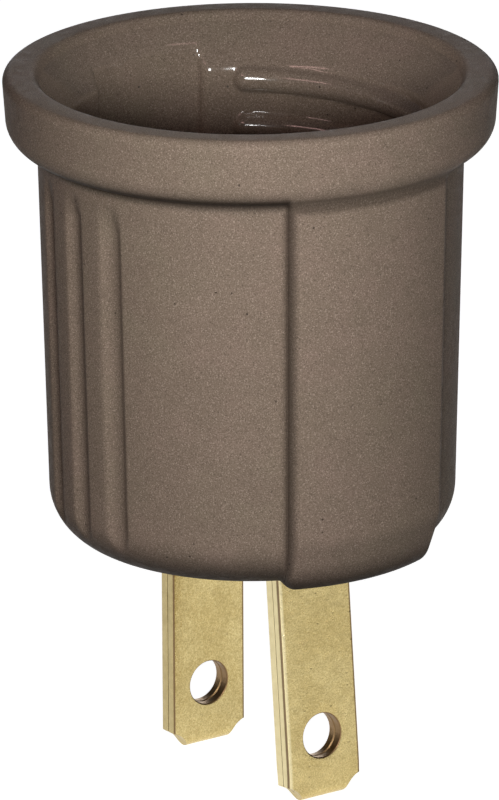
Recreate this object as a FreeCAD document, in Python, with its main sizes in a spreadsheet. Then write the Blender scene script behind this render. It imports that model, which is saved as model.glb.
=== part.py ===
import FreeCAD, Part
import Sketcher
import math
import os
import re

# Lamp socket adapter: a moulded cup that holds a medium screw lamp and plugs into a wall outlet.
# Millimetres, +Z up. The origin is the centre of the flat end that seats against the outlet.
# The blades point along -Z and the outer raised panels face -Y and +Y.

# Each driving dimension is one spreadsheet cell: alias, value, what it is.
DIMENSIONS = [
    ("socket_height", 35.2, "seating face to the top of the flange"),
    ("bore_radius", 13.3, "socket bore between the thread ridges"),
    ("body_wall", 2.24, "bore to the cup's outside, just under the flange"),
    ("flange_overhang", 2.52, "cup's outside to the flange's outside, at its top"),
    ("flange_draft", 0.23, "radius that the flange loses going down"),
    ("flange_height", 5.27, "flange, top to underside"),
    ("flange_top_round", 0.6, "rounding of the flange's top edge"),
    ("flange_under_round", 2.0, "rounding of the flange's lower edge"),
    ("body_draft", 0.73, "radius that the cup loses from the flange to the seating face"),
    ("body_round", 4.0, "rounding between the cup's side and the seating face"),
    ("panel_rise", 1.03, "raised panel above the cup's side, just under the flange"),
    ("panel_draft", 0.55, "radius that the panel loses from the flange to its chin"),
    ("panel_angle", 51.4, "arc that each raised panel covers, in degrees"),
    ("panel_edge_round", 0.8, "rounding of the panel's upright edges"),
    ("run_out_reach", 0.42, "how far the panel's top runs out along the flange"),
    ("run_out_drop", 0.81, "height of the slope by which the panel's top runs out"),
    ("chin_height", 4.0, "height at which the panel starts to turn in"),
    ("chin_inset", 1.32, "how far the panel turns in towards the seating face"),
    ("chin_round", 1.6, "rounding at the foot of the panel"),
    ("funnel_flare", 2.46, "radius that the funnel gains from the bore to the top"),
    ("mouth_round", 0.5, "rounding of the mouth's inner lip"),
    ("funnel_depth", 3.75, "top of the flange to the foot of the funnel"),
    ("floor_thickness", 4.7, "seating face to the socket's floor"),
    ("pocket_depth", 0.9, "bore to the outer wall of each contact pocket"),
    ("pocket_angle", 39.0, "arc that each contact pocket covers, in degrees"),
    ("thread_pitch", 3.629, "screw pitch, seven turns to the inch"),
    ("ridge_rise", 0.75, "crest of the thread ridges above the bore"),
    ("ridge_radius", 1.0, "half-round section of a thread ridge"),
    ("ridge_angle", 113.0, "arc that each thread ridge covers, in degrees"),
    ("ridge_depth", 4.62, "flange top to the first ridge at its upper end"),
    ("ridge_cap_relief", 0.03, "how much smaller a ridge's or groove's ball end is than its section"),
    ("flute_radius", 1.5, "section of the shallow outer grooves"),
    ("flute_depth", 0.4, "depth of the outer grooves"),
    ("flute_spacing", 15.0, "angle between neighbouring outer grooves"),
    ("flute_drop", 7.1, "flange top to the upper end of the outer grooves"),
    ("blade_width", 6.35, "contact blade, edge to edge"),
    ("blade_thickness", 1.5, "contact blade, two leaves together"),
    ("blade_length", 18.4, "seating face to the blade's tip"),
    ("blade_spacing", 12.7, "blade centre to blade centre"),
    ("front_lean", 5.1, "outward lean of the front blade, in degrees"),
    ("rear_lean", 0.0, "outward lean of the rear blade, in degrees"),
    ("seam_gap", 0.06, "gap between the two leaves of a blade"),
    ("tip_round", 0.5, "rounding of the fold at the blade's tip"),
    ("hole_radius", 1.78, "hole through each blade"),
    ("hole_to_tip", 4.76, "hole's centre to the blade's tip"),
    ("notch_radius", 1.9, "scallop that cuts each corner of a blade's tip"),
    ("notch_offset", 0.5, "scallop's centre outside the corner, both ways"),
    ("slot_clearance", 0.05, "gap round a blade in its slot"),
    ("slot_play", 0.22, "gap on the outer side of the slot, which lets a blade lean"),
    ("leaf_bend_round", 0.9, "outside of the bend where a leaf turns onto the floor"),
    ("anchor_reach", 3.0, "length of the leaf that is bent flat as an anchor"),
    ("tongue_flat", 1.2, "flat part of the centre contact before it rises"),
    ("tongue_overshoot", 2.0, "how far the centre contact runs past the axis"),
    ("tongue_height", 3.3, "floor to the top of the centre contact"),
    ("tongue_width", 3.8, "centre contact where it rises"),
    ("tongue_end_round", 1.4, "rounded corners of the centre contact's end"),
    ("side_clearance", 0.08, "gap between the side contact and the pocket's wall"),
    ("side_straight", 9.5, "floor to the start of the side contact's bow"),
    ("side_bow_height", 15.0, "floor to the peak of the side contact's bow"),
    ("side_top", 18.0, "floor to the top of the side contact"),
    ("side_bow", 0.35, "how far the side contact bows in"),
    ("side_flare", 0.3, "how far the side contact's top turns back out"),
    ("side_bend_round", 1.1, "outside of the bend at the foot of the side contact"),
]

RIDGES_PER_SIDE = 4
FLUTES_PER_SIDE = 3
# Most of the flange's ledge that the rounding of its lower edge may take up.
LEDGE_SHARE = 0.9
# Extra length of a cutting tool beyond the material, which shapes nothing.
OVERCUT = 2.0
# How far a face or edge may lie from its stated place and still be found.
FIND_TOLERANCE = 1e-3
UPRIGHT = FreeCAD.Vector(0, 0, 1)

doc = FreeCAD.newDocument("lamp_socket_adapter")
sheet = doc.addObject("Spreadsheet::Sheet", "dims")
for row, (alias, value, meaning) in enumerate(DIMENSIONS, start=1):
    sheet.set(f"A{row}", alias)
    sheet.set(f"B{row}", str(value))
    sheet.set(f"C{row}", meaning)
    sheet.setAlias(f"B{row}", alias)
doc.recompute()

ALIASES = [alias for alias, _, _ in DIMENSIONS]


def bound(formula):
    """A formula in the plain names of the dimensions, as an expression on the sheet."""

    def on_sheet(word):
        return f"dims.{word[0]}" if word[0] in ALIASES else word[0]

    return re.sub("[a-z_]+", on_sheet, formula)


def number(formula):
    """The present value of a formula in the names of the dimensions."""
    result = sheet.evalExpression(bound(formula))
    return float(getattr(result, "Value", result))


def bind(feature, **formulas):
    """Tie properties of a feature to the sheet."""
    for prop, formula in formulas.items():
        feature.setExpression(prop, bound(formula))


def origin_part(body, role):
    """The body's own origin plane or axis with this role."""
    return next(item for item in body.Origin.OriginFeatures if item.Role == role)


def new_body(label):
    body = doc.addObject("PartDesign::Body", label)
    body.Label = label
    body.Placement = FreeCAD.Placement()
    return body


def new_sketch(body, name, plane):
    """An empty sketch on one of the body's origin planes."""
    sketch = body.newObject("Sketcher::SketchObject", name)
    sketch.AttachmentSupport = (origin_part(body, plane), [""])
    sketch.MapMode = "FlatFace"
    return sketch


def pin_point(sketch, geometry, point, across, up):
    """Hold one sketch point at two formulas, or on an axis where a formula is 0."""
    for kind, formula, axis in (("DistanceX", across, -2), ("DistanceY", up, -1)):
        if formula == "0":
            sketch.addConstraint(Sketcher.Constraint("PointOnObject", geometry, point, axis))
            continue
        index = sketch.addConstraint(
            Sketcher.Constraint(kind, -1, 1, geometry, point, number(formula))
        )
        sketch.setExpression(f"Constraints[{index}]", bound(formula))


def outline(body, name, plane, corners):
    """A closed outline of straight lines through corners given as pairs of formulas."""
    sketch = new_sketch(body, name, plane)
    places = [FreeCAD.Vector(number(across), number(up), 0) for across, up in corners]
    count = len(places)
    for index in range(count):
        sketch.addGeometry(Part.LineSegment(places[index], places[(index + 1) % count]), False)
    for index in range(count):
        after = (index + 1) % count
        sketch.addConstraint(Sketcher.Constraint("Coincident", index, 2, after, 1))
    for index, (across, up) in enumerate(corners):
        pin_point(sketch, index, 1, across, up)
    return sketch


def disc(body, name, plane, radius, across, up):
    """A circle of a bound radius at a bound place."""
    sketch = new_sketch(body, name, plane)
    centre = FreeCAD.Vector(number(across), number(up), 0)
    circle = Part.Circle(centre, UPRIGHT, number(radius))
    sketch.addGeometry(circle, False)
    index = sketch.addConstraint(Sketcher.Constraint("Radius", 0, number(radius)))
    sketch.setExpression(f"Constraints[{index}]", bound(radius))
    pin_point(sketch, 0, 3, across, up)
    return sketch


def turned(body, kind, name, sketch, angle):
    """A revolution or a groove about the upright axis, centred on the sketch's plane."""
    feature = body.newObject(f"PartDesign::{kind}", name)
    feature.Profile = sketch
    feature.ReferenceAxis = (sketch, ["V_Axis"])
    feature.Midplane = True
    bind(feature, Angle=angle)
    sketch.Visibility = False
    doc.recompute()
    return feature


def pad(body, name, profile, width):
    """The profile's area made solid, half of the width on each side of its plane."""
    feature = body.newObject("PartDesign::Pad", name)
    feature.Profile = profile
    feature.Midplane = True
    bind(feature, Length=width)
    profile.Visibility = False
    doc.recompute()


def pocket(body, name, profile, width):
    """The profile's area cut away, half of the width on each side of its plane."""
    feature = body.newObject("PartDesign::Pocket", name)
    feature.Profile = profile
    feature.Midplane = True
    bind(feature, Length=width)
    profile.Visibility = False
    doc.recompute()
    return feature


def join(body, name, others):
    """Other bodies made one with this one."""
    joined = body.newObject("PartDesign::Boolean", name)
    joined.Type = "Fuse"
    joined.setObjects(others)
    body.Tip = joined
    doc.recompute()


def opposite_pair(body, name, originals):
    """The same features again, half a turn round the upright axis."""
    pattern = body.newObject("PartDesign::PolarPattern", name)
    pattern.Originals = originals
    pattern.Axis = (origin_part(body, "Z_Axis"), [""])
    pattern.Angle = 360
    pattern.Occurrences = 2
    body.Tip = pattern
    doc.recompute()


def edges_where(body, wanted):
    """Names of the edges of the body's present shape that pass a test."""
    edges = body.Tip.Shape.Edges
    return [f"Edge{index}" for index, edge in enumerate(edges, start=1) if wanted(edge)]


def round_edges(body, name, radius, wanted):
    """Round the edges that pass a test."""
    names = edges_where(body, wanted)
    if not names:
        raise ValueError(f"{name}: no edge found")
    fillet = body.newObject("PartDesign::Fillet", name)
    fillet.Base = (body.getObject(fillet.BaseFeature.Name), names)
    bind(fillet, Radius=radius)
    doc.recompute()


def circle_at(radius, height):
    """A test for round edges about the upright axis, of one radius at one height."""

    def test(edge):
        curve = edge.Curve
        if not isinstance(curve, Part.Circle):
            return False
        centred = math.hypot(curve.Center.x, curve.Center.y) < FIND_TOLERANCE
        sized = abs(curve.Radius - number(radius)) < FIND_TOLERANCE
        level = abs(curve.Center.z - number(height)) < FIND_TOLERANCE
        return centred and sized and level

    return test


# The moulded cup.

BODY_RADIUS = "(bore_radius + body_wall)"
FLANGE_RADIUS = "(bore_radius + body_wall + flange_overhang)"
PANEL_RADIUS = "(bore_radius + body_wall + panel_rise)"
MOUTH_RADIUS = "(bore_radius + funnel_flare)"
POCKET_RADIUS = "(bore_radius + pocket_depth)"
UNDERSIDE = "socket_height - flange_height"
UNDER_ROUND = f"min(flange_under_round; {LEDGE_SHARE} * (flange_overhang - flange_draft))"
FUNNEL_FOOT = "socket_height - funnel_depth"
MID_FLANGE = "socket_height - flange_height / 2"
CHIN_FOOT = f"{PANEL_RADIUS} - panel_draft - chin_inset"
INNER_FACE = "(blade_spacing / 2 - blade_thickness / 2)"
OUTER_FACE = "(blade_spacing / 2 + blade_thickness / 2)"
RIDGE_CENTRE = "bore_radius - ridge_rise + ridge_radius"


def make_cup(housing):
    """The drafted cup without its flange. It runs up into the flange, which covers its end."""
    corners = [
        ("0", "0"),
        (f"{BODY_RADIUS} - body_draft", "0"),
        (BODY_RADIUS, UNDERSIDE),
        (BODY_RADIUS, MID_FLANGE),
        ("0", MID_FLANGE),
    ]
    profile = outline(housing, "cup_profile", "XZ_Plane", corners)
    turned(housing, "Revolution", "cup", profile, "360")
    round_edges(
        housing, "foot_rounding", "body_round", circle_at(f"{BODY_RADIUS} - body_draft", "0")
    )


def on_panel_side(edge):
    """True for the upright edges of a panel's outer wall."""
    middle = edge.valueAt((edge.FirstParameter + edge.LastParameter) / 2)
    upright = edge.BoundBox.ZLength > FIND_TOLERANCE
    return upright and math.hypot(middle.x, middle.y) > number(f"{CHIN_FOOT} - chin_round")


def on_flange(radius):
    """Height of the flange's rounded lower edge at a radius."""
    centre = f"({FLANGE_RADIUS} - flange_draft - {UNDER_ROUND})"
    drop = f"sqrt({UNDER_ROUND} ^ 2 - ({radius} - {centre}) ^ 2)"
    return f"({UNDERSIDE} + {UNDER_ROUND} - {drop})"


def make_panel(name, turn):
    """One raised panel as a body of its own, rounded before it joins the cup."""
    panel = new_body(name)
    root = f"{BODY_RADIUS} - body_draft - body_round - chin_inset"
    knee = f"{PANEL_RADIUS} - panel_draft"
    run_out = f"({PANEL_RADIUS} + run_out_reach)"
    corners = [
        (root, "0"),
        (CHIN_FOOT, "0"),
        (knee, "chin_height"),
        (PANEL_RADIUS, f"{on_flange(run_out)} - run_out_drop"),
        (run_out, on_flange(run_out)),
        (run_out, MID_FLANGE),
        (root, MID_FLANGE),
    ]
    profile = outline(panel, f"{name}_profile", "YZ_Plane", corners)
    turned(panel, "Revolution", f"{name}_sector", profile, "panel_angle")
    round_edges(panel, f"{name}_chin_rounding", "chin_round", circle_at(CHIN_FOOT, "0"))
    round_edges(panel, f"{name}_edge_rounding", "panel_edge_round", on_panel_side)
    panel.Placement = FreeCAD.Placement(FreeCAD.Vector(), FreeCAD.Rotation(UPRIGHT, turn))
    return panel


def join_panels(housing):
    join(housing, "raised_panels", [make_panel("rear_panel", 0), make_panel("front_panel", 180)])


def make_flange(housing):
    corners = [
        ("0", UNDERSIDE),
        (f"{FLANGE_RADIUS} - flange_draft", UNDERSIDE),
        (FLANGE_RADIUS, "socket_height"),
        ("0", "socket_height"),
    ]
    profile = outline(housing, "flange_profile", "XZ_Plane", corners)
    turned(housing, "Revolution", "flange", profile, "360")
    round_edges(
        housing,
        "flange_lower_rounding",
        UNDER_ROUND,
        circle_at(f"{FLANGE_RADIUS} - flange_draft", UNDERSIDE),
    )
    round_edges(
        housing,
        "flange_upper_rounding",
        "flange_top_round",
        circle_at(FLANGE_RADIUS, "socket_height"),
    )


def make_cavity(housing):
    corners = [
        ("0", "floor_thickness"),
        ("bore_radius", "floor_thickness"),
        ("bore_radius", FUNNEL_FOOT),
        (MOUTH_RADIUS, "socket_height"),
        ("0", "socket_height"),
    ]
    profile = outline(housing, "cavity_profile", "XZ_Plane", corners)
    turned(housing, "Groove", "cavity", profile, "360")
    round_edges(
        housing, "mouth_rounding", "mouth_round", circle_at(MOUTH_RADIUS, "socket_height")
    )
    inside = f"bore_radius - {OVERCUT}"
    corners = [
        (inside, "floor_thickness"),
        (POCKET_RADIUS, "floor_thickness"),
        (POCKET_RADIUS, FUNNEL_FOOT + " + funnel_depth / 2"),
        (inside, FUNNEL_FOOT + " + funnel_depth / 2"),
    ]
    profile = outline(housing, "pocket_profile", "YZ_Plane", corners)
    hollow = turned(housing, "Groove", "contact_pocket", profile, "pocket_angle")
    opposite_pair(housing, "contact_pockets", [hollow])


def make_slots(housing):
    half_width = "(blade_width / 2 + slot_clearance)"
    inner = f"{INNER_FACE} - slot_clearance"
    outer = f"{OUTER_FACE} + slot_play"
    corners = [
        (f"-1 * {half_width}", inner),
        (half_width, inner),
        (half_width, outer),
        (f"-1 * {half_width}", outer),
    ]
    profile = outline(housing, "slot_profile", "XY_Plane", corners)
    slot = pocket(housing, "blade_slot", profile, f"2 * (floor_thickness + {OVERCUT})")
    opposite_pair(housing, "blade_slots", [slot])


def place(feature, across, along, up, axis=None, angle=None, prop="Placement"):
    """Put a feature at bound coordinates, turned by a bound angle about an axis of formulas."""
    rotation = FreeCAD.Rotation()
    if axis is not None:
        rotation = FreeCAD.Rotation(FreeCAD.Vector(*map(number, axis)), number(angle))
    spot = FreeCAD.Vector(number(across), number(along), number(up))
    setattr(feature, prop, FreeCAD.Placement(spot, rotation))
    feature.setExpression(f"{prop}.Base.x", bound(across))
    feature.setExpression(f"{prop}.Base.y", bound(along))
    feature.setExpression(f"{prop}.Base.z", bound(up))
    if axis is not None:
        feature.setExpression(f"{prop}.Rotation.Axis.x", bound(axis[0]))
        feature.setExpression(f"{prop}.Rotation.Axis.y", bound(axis[1]))
        feature.setExpression(f"{prop}.Rotation.Angle", bound(angle))


def make_flutes(housing):
    """Shallow grooves of round section that follow the cup's draft and fade into its foot."""
    top = "(socket_height - flute_drop - flute_radius)"
    slope = f"atan(body_draft / ({UNDERSIDE}))"
    out = f"({BODY_RADIUS} - body_draft * flute_drop / socket_height + flute_radius - flute_depth)"
    turn = f"(180 - flute_spacing * {(FLUTES_PER_SIDE - 1) / 2})"
    spot = (f"{out} * cos({turn})", f"{out} * sin({turn})", top)
    section = disc(housing, "flute_section", "XY_Plane", "flute_radius", "0", "0")
    lean_axis = (f"-sin({turn})", f"cos({turn})", "0")
    place(section, *spot, lean_axis, slope, "AttachmentOffset")
    doc.recompute()
    groove = housing.newObject("PartDesign::Pocket", "flute")
    groove.Profile = section
    bind(groove, Length=f"{top} + {OVERCUT}")
    section.Visibility = False
    doc.recompute()
    ball = housing.newObject("PartDesign::SubtractiveSphere", "flute_end")
    bind(ball, Radius="flute_radius - ridge_cap_relief")
    place(ball, *spot)
    doc.recompute()
    fan = housing.newObject("PartDesign::MultiTransform", "flutes")
    fan.Originals = [groove, ball]
    housing.Tip = fan
    steps = []
    for index in range(2):
        step = housing.newObject("PartDesign::PolarPattern", f"flute_step_{index}")
        step.Axis = (origin_part(housing, "Z_Axis"), [""])
        steps.append(step)
    steps[0].Occurrences = FLUTES_PER_SIDE
    bind(steps[0], Angle=f"flute_spacing * {FLUTES_PER_SIDE - 1}")
    steps[1].Occurrences = 2
    steps[1].Angle = 360
    fan.Transformations = steps
    housing.Tip = fan
    doc.recompute()


def make_ridge(name, turn, height):
    """A thread ridge as a body: part of a ring with ball ends, tilted by the thread's lead."""
    ridge = new_body(name)
    ring = ridge.newObject("PartDesign::AdditiveTorus", f"{name}_ring")
    bind(ring, Radius1=RIDGE_CENTRE, Radius2="ridge_radius", Angle3="ridge_angle")
    doc.recompute()
    for end, angle in (("lower", "0"), ("upper", "ridge_angle")):
        ball = ridge.newObject("PartDesign::AdditiveSphere", f"{name}_{end}_end")
        bind(ball, Radius="ridge_radius - ridge_cap_relief")
        place(ball, f"({RIDGE_CENTRE}) * cos({angle})", f"({RIDGE_CENTRE}) * sin({angle})", "0")
        doc.recompute()
    # The tilt makes the ring's two ends differ in height as the helix does over the same arc.
    half = math.radians(number("ridge_angle / 2"))
    rise = number("thread_pitch * ridge_angle / 360") / 2
    tilt = math.degrees(math.asin(rise / (number(RIDGE_CENTRE) * math.sin(half))))
    middle_first = FreeCAD.Rotation(UPRIGHT, number("-ridge_angle / 2"))
    tilted = FreeCAD.Rotation(FreeCAD.Vector(1, 0, 0), tilt)
    to_side = FreeCAD.Rotation(UPRIGHT, turn)
    spot = FreeCAD.Vector(0, 0, number(height))
    ridge.Placement = FreeCAD.Placement(spot, to_side * tilted * middle_first)
    return ridge


def make_thread(housing):
    """Interrupted thread on the two plain sides of the bore, one half turn apart."""
    first = "(socket_height - ridge_depth - thread_pitch * ridge_angle / 720)"
    ridges = []
    for side, turn, lag in (("right", 0, "0"), ("left", 180, "1 / 2")):
        for row in range(RIDGES_PER_SIDE):
            height = f"{first} - thread_pitch * ({row} + {lag})"
            ridges.append(make_ridge(f"{side}_ridge_{row + 1}", turn, height))
    join(housing, "thread", ridges)


# The two contact blades, each one strip folded on itself at the blade's tip.

LEAF = "((blade_thickness - seam_gap) / 2)"
POCKET_FACE = f"(sqrt({POCKET_RADIUS} ^ 2 - (blade_width / 2) ^ 2) - side_clearance)"


def on_blade(lean, along, across):
    """A point of a leaning blade: so far from the seating face along it, so far off its middle."""
    outward = f"blade_spacing / 2 + {along} * sin({lean}) + {across} * cos({lean})"
    height = f"{across} * sin({lean}) - {along} * cos({lean})"
    return outward, height


def facing(side, corners):
    """Outward distances as places along Y, on the front (-1) or the rear (1) side."""
    return [(f"{side} * ({outward})", height) for outward, height in corners]


def edge_through(points):
    """A test for straight edges along X through any of some places given as formulas."""
    places = [(number(along), number(up)) for along, up in points]

    def test(edge):
        box = edge.BoundBox
        if box.XLength < FIND_TOLERANCE or box.YLength + box.ZLength > FIND_TOLERANCE:
            return False
        return any(math.hypot(box.YMin - y, box.ZMin - z) < FIND_TOLERANCE for y, z in places)

    return test


def drill(blade, name, side, lean, along, across_width, radius):
    """A cylinder through the blade's thickness, at one place on its face."""
    outward, height = on_blade(lean, along, f"(-1 * blade_thickness - {OVERCUT})")
    tool = blade.newObject("PartDesign::SubtractiveCylinder", name)
    bind(tool, Radius=radius, Height=f"2 * (blade_thickness + {OVERCUT})")
    angle = f"{side} * (90 - {lean})"
    place(tool, across_width, f"{side} * ({outward})", height, ("-1", "0", "0"), angle)
    doc.recompute()


def make_blade(label, side, lean, contact):
    """A blade from its outline seen along X. The contact is the part of it above the floor."""
    blade = new_body(label)
    half = "(blade_thickness / 2)"
    outer_tip = on_blade(lean, "blade_length", half)
    inner_tip = on_blade(lean, "blade_length", f"(-1 * {half})")
    corners = [outer_tip, inner_tip, (INNER_FACE, "0")] + contact + [(OUTER_FACE, "0")]
    profile = outline(blade, f"{label}_profile", "YZ_Plane", facing(side, corners))
    pad(blade, f"{label}_strip", profile, "blade_width")
    round_edges(
        blade, f"{label}_fold", "tip_round", edge_through(facing(side, [outer_tip, inner_tip]))
    )
    gap = "(seam_gap / 2)"
    seam_end = f"(blade_length - {LEAF})"
    seam_top = f"floor_thickness + {LEAF} + {OVERCUT}"
    seam = [
        on_blade(lean, seam_end, gap),
        on_blade(lean, seam_end, f"(-1 * {gap})"),
        (f"blade_spacing / 2 - {gap}", "0"),
        (f"blade_spacing / 2 - {gap}", seam_top),
        (f"blade_spacing / 2 + {gap}", seam_top),
        (f"blade_spacing / 2 + {gap}", "0"),
    ]
    profile = outline(blade, f"{label}_seam_profile", "YZ_Plane", facing(side, seam))
    pocket(blade, f"{label}_seam", profile, f"blade_width + {OVERCUT}")
    bends = [
        (f"blade_spacing / 2 - {gap}", f"floor_thickness + {LEAF}"),
        (f"blade_spacing / 2 + {gap}", f"floor_thickness + {LEAF}"),
    ]
    round_edges(
        blade, f"{label}_bends", "leaf_bend_round", edge_through(facing(side, bends))
    )
    drill(blade, f"{label}_hole", side, lean, "(blade_length - hole_to_tip)", "0", "hole_radius")
    notch_along = "(blade_length + notch_offset)"
    for hand, sign in (("left", "-1"), ("right", "1")):
        across = f"{sign} * (blade_width / 2 + notch_offset)"
        drill(blade, f"{label}_{hand}_notch", side, lean, notch_along, across, "notch_radius")
    return blade


def make_centre_contact():
    floor = "floor_thickness"
    knee = f"{INNER_FACE} - tongue_flat"
    anchor_end = f"{OUTER_FACE} + anchor_reach"
    contact = [
        (INNER_FACE, floor),
        (knee, floor),
        ("-1 * tongue_overshoot", f"{floor} + tongue_height - {LEAF}"),
        ("-1 * tongue_overshoot", f"{floor} + tongue_height"),
        (knee, f"{floor} + {LEAF}"),
        (anchor_end, f"{floor} + {LEAF}"),
        (anchor_end, floor),
        (OUTER_FACE, floor),
    ]
    blade = make_blade("centre_contact_blade", -1, "front_lean", contact)
    for hand, sign in (("left", "-1"), ("right", "1")):
        corners = [
            (f"{sign} * tongue_width / 2", f"-1 * ({knee})"),
            (f"{sign} * tongue_width / 2", f"tongue_overshoot + {OVERCUT}"),
            (f"{sign} * (blade_width / 2 + {OVERCUT})", f"tongue_overshoot + {OVERCUT}"),
            (f"{sign} * (blade_width / 2 + {OVERCUT})", f"-1 * ({knee})"),
        ]
        profile = outline(blade, f"tongue_{hand}_profile", "XY_Plane", corners)
        reach = f"2 * ({floor} + tongue_height + {OVERCUT})"
        pocket(blade, f"tongue_{hand}_side", profile, reach)
    end = number("tongue_overshoot")
    half = number("tongue_width / 2")

    def tongue_corner(edge):
        box = edge.BoundBox
        upright = box.ZLength > FIND_TOLERANCE and box.XLength + box.YLength < FIND_TOLERANCE
        return upright and abs(box.YMax - end) + abs(abs(box.XMax) - half) < FIND_TOLERANCE

    round_edges(blade, "tongue_end", "tongue_end_round", tongue_corner)
    return blade


def make_side_contact():
    floor = "floor_thickness"
    start = f"{INNER_FACE} - anchor_reach"
    bowed = f"{POCKET_FACE} - side_bow"
    flared = f"{bowed} + side_flare"
    contact = [
        (INNER_FACE, floor),
        (start, floor),
        (start, f"{floor} + {LEAF}"),
        (f"{POCKET_FACE} - {LEAF}", f"{floor} + {LEAF}"),
        (f"{POCKET_FACE} - {LEAF}", f"{floor} + side_straight"),
        (f"{bowed} - {LEAF}", f"{floor} + side_bow_height"),
        (f"{flared} - {LEAF}", f"{floor} + side_top"),
        (flared, f"{floor} + side_top"),
        (bowed, f"{floor} + side_bow_height"),
        (POCKET_FACE, f"{floor} + side_straight"),
        (POCKET_FACE, floor),
        (OUTER_FACE, floor),
    ]
    blade = make_blade("side_contact_blade", 1, "rear_lean", contact)
    foot = edge_through([(POCKET_FACE, floor)])
    round_edges(blade, "side_contact_bend", "side_bend_round", foot)
    return blade


def make_housing():
    housing = new_body("housing")
    make_cup(housing)
    make_flange(housing)
    join_panels(housing)
    make_cavity(housing)
    make_slots(housing)
    make_flutes(housing)
    make_thread(housing)
    return housing


pieces = [make_housing(), make_centre_contact(), make_side_contact()]

failed = [item.Name for item in doc.Objects if {"Invalid", "Error"} & set(item.State)]
if failed:
    raise RuntimeError(f"failed features: {failed}")
for piece in pieces:
    if piece.Shape.isNull() or not piece.Shape.isValid() or len(piece.Shape.Solids) != 1:
        raise RuntimeError(f"{piece.Label}: not one valid solid")
    print(f"{piece.Label}: {piece.Shape.Volume:.1f} mm3, {len(piece.Shape.Faces)} faces")

os.makedirs("parts", exist_ok=True)
for piece in pieces:
    piece.Shape.exportStep(f"parts/{piece.Label}.step")
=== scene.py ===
import bpy
import bmesh
import math
import numpy as np
from mathutils import Matrix, Vector
from mathutils.geometry import delaunay_2d_cdt


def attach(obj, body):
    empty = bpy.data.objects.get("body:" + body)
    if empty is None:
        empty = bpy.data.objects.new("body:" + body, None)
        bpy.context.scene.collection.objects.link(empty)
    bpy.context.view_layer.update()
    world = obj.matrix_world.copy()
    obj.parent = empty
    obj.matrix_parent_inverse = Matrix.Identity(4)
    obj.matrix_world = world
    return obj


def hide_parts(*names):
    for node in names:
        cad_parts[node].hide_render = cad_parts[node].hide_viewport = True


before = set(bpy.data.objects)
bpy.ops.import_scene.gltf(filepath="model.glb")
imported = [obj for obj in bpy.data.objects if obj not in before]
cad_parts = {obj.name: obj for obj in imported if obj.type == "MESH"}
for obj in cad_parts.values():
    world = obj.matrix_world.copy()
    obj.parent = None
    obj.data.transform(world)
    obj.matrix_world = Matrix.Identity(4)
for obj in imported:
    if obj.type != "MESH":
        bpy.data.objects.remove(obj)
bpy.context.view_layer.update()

# Lamp socket adapter: a moulded cup and two folded brass blades. Lengths below are millimetres
# unless a name says otherwise. Azimuth 0 faces -Y, 90 faces +X.
MM = 0.001

# Camera, found from the rims and the blades in the photograph.
CAMERA_AZIMUTH = -35.0
CAMERA_ELEVATION = 18.324
CAMERA_DISTANCE = 800.0
CAMERA_STAND = (0.0, 0.0, 10.2)
CAMERA_TARGET = (-0.18, 0.06, 10.03)
CAMERA_ROLL = -0.282
CAMERA_LENS = 491.67
SENSOR_WIDTH = 36.0
CLIP_END_M = 20.0

# Cup, from the outside in.
SOCKET_TOP = 35.2
BODY_TOP_RADIUS = 15.54
BODY_FOOT_RADIUS = 14.81
BODY_ROUND = 4.0
PANEL_TOP_RADIUS = 16.57
PANEL_FOOT_RADIUS = 16.02
PANEL_HALF_ANGLE = 25.4
PANEL_EDGE_ROUND = 0.95
PANEL_ROOT_ROUND = 0.5
PANEL_BLEND = 1.0
CHIN_RADIUS = 14.70
CHIN_HEIGHT = 4.0
CHIN_ROUND = 1.6
KNEE_ROUND = 2.6
UNDERSIDE = 29.93
FLANGE_LOW_RADIUS = 17.83
FLANGE_TOP_RADIUS = 18.06
FLANGE_UNDER_ROUND = 2.0
FLANGE_TOP_ROUND = 0.66
CREASE_ROUND = 0.12
FLUTE_RADIUS = 1.3
FLUTE_DEPTH = 0.45
FLUTE_TOP = 26.9
FLUTE_ANGLES = (73.8, 88.8, 103.8)
FLUTE_BLEND = 0.14
FLUTE_BELOW_FLANGE = 1
MOUTH_RADIUS = 15.76
MOUTH_ROUND = 0.6
LIP_ROWS = 8
BORE_RADIUS = 13.3
FUNNEL_FOOT = 31.45
FUNNEL_FOOT_ROUND = 1.2
POCKET_RADIUS = 14.2
POCKET_HALF_ANGLE = 19.5
POCKET_EDGE_ROUND = 0.8
POCKET_ROOT_ROUND = 0.3
POCKET_TOP_BLEND = 0.2
# A pocket ends this far above the funnel's foot.
POCKET_TOP_RISE = 2.4
FLOOR_HEIGHT = 4.7
FLOOR_ROUND = 0.3
PITCH = 3.629
RIDGE_CENTRE = 13.55
RIDGE_RADIUS = 1.0
RIDGE_HALF_ANGLE = 56.5
RIDGE_MIDDLE = 30.01
RIDGES_PER_SIDE = 4
RIDGE_ROOT_BLEND = 0.22
# Past a ridge's own round section its surface falls away behind the wall this steeply.
RIDGE_OUTSIDE_SLOPE = 3
SLOT_HALF_WIDTH = 3.225
SLOT_INNER = -0.80
SLOT_OUTER = 0.97
SLOT_CORNER_ROUND = 0.25
# A wall between two columns of points can't stand quite upright: it leans by this much.
WALL_LEAN = 0.04
# Share of a step's height that its rounded edge may take. Its root may take the rest.
STEP_EDGE_SHARE = 0.7
HOUSING_SHARP_ANGLE = 50

# Painted shade in the crease under the flange: how far it reaches above and below the crease. Over a panel
# it lies lower, is shorter and is paler. Towards the flange's edge it fades out.
CREASE_SHADE_ABOVE = 1.8
CREASE_SHADE_BELOW = 0.95
CREASE_SHADE_PEAK = 1.15
PANEL_CREASE_DROP = 0.30
PANEL_CREASE_SHORTER = 0.25
PANEL_CREASE_PALER = 0.45
FLANGE_SHADE_FADE = 0.8
# Painted shade on the foot, darker towards the bottom: how much, and up to what height. Over a panel it
# ends lower by a share.
FOOT_SHADE = 1.0
FOOT_SHADE_TOP = 3.4
PANEL_FOOT_LOWER = 0.2
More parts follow.
